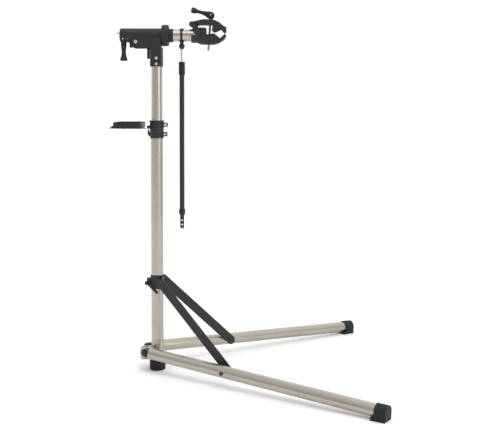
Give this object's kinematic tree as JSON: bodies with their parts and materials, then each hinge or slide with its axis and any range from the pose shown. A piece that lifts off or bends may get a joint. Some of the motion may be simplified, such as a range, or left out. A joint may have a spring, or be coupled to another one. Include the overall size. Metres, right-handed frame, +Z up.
{
  "type": "bike repair stand",
  "caption": "Folding bike repair stand: tube legs on a sliding collar, telescopic mast, tilting head with a turning jaw clamp, tool tray and hanging handlebar rod.",
  "frame": {"origin": "on the floor at the mast's axis, on the flat underside of the mast's foot", "axes": "+Z up the mast, +X forward along the clamp arm and between the legs, +Y to the left leg"},
  "size_m": [0.848, 1.01, 1.1861],
  "materials": {
    "anodised_beige": "satin anodised",
    "brushed_tube": "satin anodised",
    "black_plastic": "matte",
    "grip_black": "matte",
    "black_paint": "satin powder coat",
    "tray_plastic": "matte",
    "base_silver": "light grey satin",
    "rubber": "matte",
    "bolt_steel": "zinc plated",
    "screw_steel": "plain steel",
    "dark_bolt": "black oxide"
  },
  "bodies": {
    "base": {"mast_lower_tube": "anodised_beige", "mast_foot": "rubber", "base_bracket": "base_silver", "leg_pivot_pins": "dark_bolt", "height_clamp_collar": "black_paint", "height_clamp_bolt": "bolt_steel", "height_clamp_bush": "black_plastic", "height_lever_pin": "bolt_steel"},
    "height_lever": {"height_clamp_lever": "grip_black"},
    "slider": {"slider_collar": "black_plastic", "slider_clamp_bolt": "dark_bolt", "strut_pivot_pins": "dark_bolt", "slider_lever_pin": "dark_bolt"},
    "slider_lever": {"slider_clamp_lever": "grip_black"},
    "leg_right": {"leg_tube_right": "anodised_beige", "leg_knuckle_right": "black_plastic", "leg_boot_right": "rubber", "leg_strut_bolt_right": "dark_bolt"},
    "leg_left": {"leg_tube_left": "anodised_beige", "leg_knuckle_left": "black_plastic", "leg_boot_left": "rubber", "leg_strut_bolt_left": "dark_bolt"},
    "strut_right": {"strut_right": "black_paint"},
    "strut_left": {"strut_left": "black_paint"},
    "upper_mast": {"mast_upper_tube": "brushed_tube", "mast_guide": "black_plastic", "head_bracket": "black_paint", "head_pivot_bolts": "bolt_steel", "head_latch_bolts": "dark_bolt", "head_socket_bolts": "bolt_steel"},
    "tray": {"tray_collar": "black_plastic", "tray_collar_bolt": "bolt_steel", "tray_arm": "base_silver", "tool_tray": "tray_plastic", "tray_screws": "bolt_steel"},
    "head": {"head_barrel": "black_paint", "rear_end_cap": "black_plastic", "rear_lever_pin": "bolt_steel"},
    "latch": {"head_latch_lever": "grip_black"},
    "brake": {"arm_brake_shoe": "black_plastic", "release_rod": "dark_bolt"},
    "rear_lever": {"rear_cam_lever": "grip_black"},
    "lock_ring": {"rotation_lock_ring": "black_plastic"},
    "arm": {"arm_tube": "brushed_tube", "arm_sleeve": "black_plastic", "clamp_body": "black_paint", "lower_jaw_pad": "rubber", "knuckle_pin": "dark_bolt", "jaw_barrel_nut": "bolt_steel"},
    "jaw": {"upper_jaw": "black_paint", "upper_jaw_pad": "rubber"},
    "jaw_washer": {"jaw_washer": "bolt_steel"},
    "jaw_screw": {"jaw_screw": "screw_steel", "jaw_lever_pin": "bolt_steel"},
    "jaw_lever": {"jaw_cam_lever": "grip_black"},
    "stabiliser": {"stabiliser_strap": "grip_black", "stabiliser_rod": "bolt_steel"},
    "stabiliser_tube": {"stabiliser_tube": "black_paint", "stabiliser_end": "grip_black"},
    "stabiliser_twist": {"stabiliser_twist_grip": "grip_black"}
  },
  "joints": [
    {"name": "leg_right_fold", "type": "hinge", "parent": "base", "child": "leg_right", "pos_m": [-0.03508, -0.0335, 0.0642], "axis": [-0.5299, -0.848, 0], "range_deg": [0, 90]},
    {"name": "leg_left_fold", "type": "hinge", "parent": "base", "child": "leg_left", "pos_m": [-0.03508, 0.0335, 0.0642], "axis": [0.5299, -0.848, 0], "range_deg": [0, 90.5]},
    {"name": "slider_slide", "type": "slide", "parent": "base", "child": "slider", "axis": [0, 0, 1], "range_m": [0, 0.4405]},
    {"name": "strut_right_swing", "type": "hinge", "parent": "slider", "child": "strut_right", "pos_m": [0.01285, -0.03869, 0.2955], "axis": [-0.5299, -0.848, 0], "range_deg": [-52.3, 0]},
    {"name": "strut_left_swing", "type": "hinge", "parent": "slider", "child": "strut_left", "pos_m": [0.01285, 0.03869, 0.2955], "axis": [0.5299, -0.848, 0], "range_deg": [-52.3, 0]},
    {"name": "slider_lever_swing", "type": "hinge", "parent": "slider", "child": "slider_lever", "pos_m": [-0.02405, 0.00962, 0.288], "axis": [-0.3714, -0.9285, 0], "range_deg": [-110, 0]},
    {"name": "height_lever_swing", "type": "hinge", "parent": "base", "child": "height_lever", "pos_m": [0.0273, 0.0155, 0.7752], "axis": [0, 0, 1], "range_deg": [-110, 0]},
    {"name": "mast_height", "type": "slide", "parent": "base", "child": "upper_mast", "axis": [0, 0, 1], "range_m": [0, 0.42]},
    {"name": "tray_swivel", "type": "hinge", "parent": "upper_mast", "child": "tray", "pos_m": [0, 0, 0.805], "axis": [0, 0, 1], "range_deg": [-90, 90]},
    {"name": "head_tilt", "type": "hinge", "parent": "upper_mast", "child": "head", "pos_m": [-0.0642, 0, 1.0729], "axis": [0, -1, 0], "range_deg": [0, 45]},
    {"name": "latch_pull", "type": "hinge", "parent": "upper_mast", "child": "latch", "pos_m": [-0.0204, 0, 1.0719], "axis": [0, 1, 0], "range_deg": [0, 20], "stiffness_Nm_per_rad": 0.5, "springref_deg": -17.19},
    {"name": "rear_lever_swing", "type": "hinge", "parent": "head", "child": "rear_lever", "pos_m": [-0.1062, 0, 1.083], "axis": [0, 1, 0], "range_deg": [0, 90]},
    {"name": "brake_travel", "type": "slide", "parent": "head", "child": "brake", "axis": [1, 0, 0], "range_m": [-0.0017, 0]},
    {"name": "lock_ring_turn", "type": "hinge", "parent": "head", "child": "lock_ring", "pos_m": [0.0285, 0, 1.0945], "axis": [1, 0, 0], "range_deg": [-45, 0]},
    {"name": "arm_turn", "type": "hinge", "parent": "head", "child": "arm", "pos_m": [0.04, 0, 1.0945], "axis": [1, 0, 0], "continuous": true},
    {"name": "jaw_open", "type": "hinge", "parent": "arm", "child": "jaw", "pos_m": [0.115, 0, 1.1306], "axis": [0, -1, 0], "range_deg": [0, 23.9]},
    {"name": "jaw_screw_travel", "type": "slide", "parent": "arm", "child": "jaw_washer", "axis": [0.0698, 0, 0.9976], "range_m": [0, 0.0302]},
    {"name": "jaw_screw_turn", "type": "hinge", "parent": "jaw_washer", "child": "jaw_screw", "pos_m": [0.1758, 0, 1.1615], "axis": [0.0698, 0, 0.9976], "continuous": true},
    {"name": "jaw_lever_swing", "type": "hinge", "parent": "jaw_screw", "child": "jaw_lever", "pos_m": [0.1758, 0, 1.1615], "axis": [0, 1, 0], "range_deg": [0, 100]},
    {"name": "stabiliser_swing", "type": "hinge", "parent": "head", "child": "stabiliser", "pos_m": [0.0819, 0, 1.0945], "axis": [1, 0, 0], "range_deg": [-80, 80]},
    {"name": "stabiliser_extend", "type": "slide", "parent": "stabiliser", "child": "stabiliser_tube", "axis": [0, 0, -1], "range_m": [0, 0.25]},
    {"name": "stabiliser_twist_turn", "type": "hinge", "parent": "stabiliser_tube", "child": "stabiliser_twist", "pos_m": [0.0819, 0, 0.99], "axis": [0, 0, 1], "range_deg": [0, 60]}
  ],
  "couplings": [
    {"joint": "leg_left_fold", "follows": "leg_right_fold", "ratio": 1},
    {"joint": "slider_slide", "follows": "leg_right_fold", "m_per_rad": 0.27992},
    {"joint": "strut_right_swing", "follows": "leg_right_fold", "ratio": -0.57333},
    {"joint": "strut_left_swing", "follows": "leg_right_fold", "ratio": -0.57333},
    {"joint": "brake_travel", "follows": "rear_lever_swing", "m_per_rad": -0.00095493},
    {"joint": "jaw_screw_travel", "follows": "jaw_open", "m_per_rad": 0.072}
  ]
}
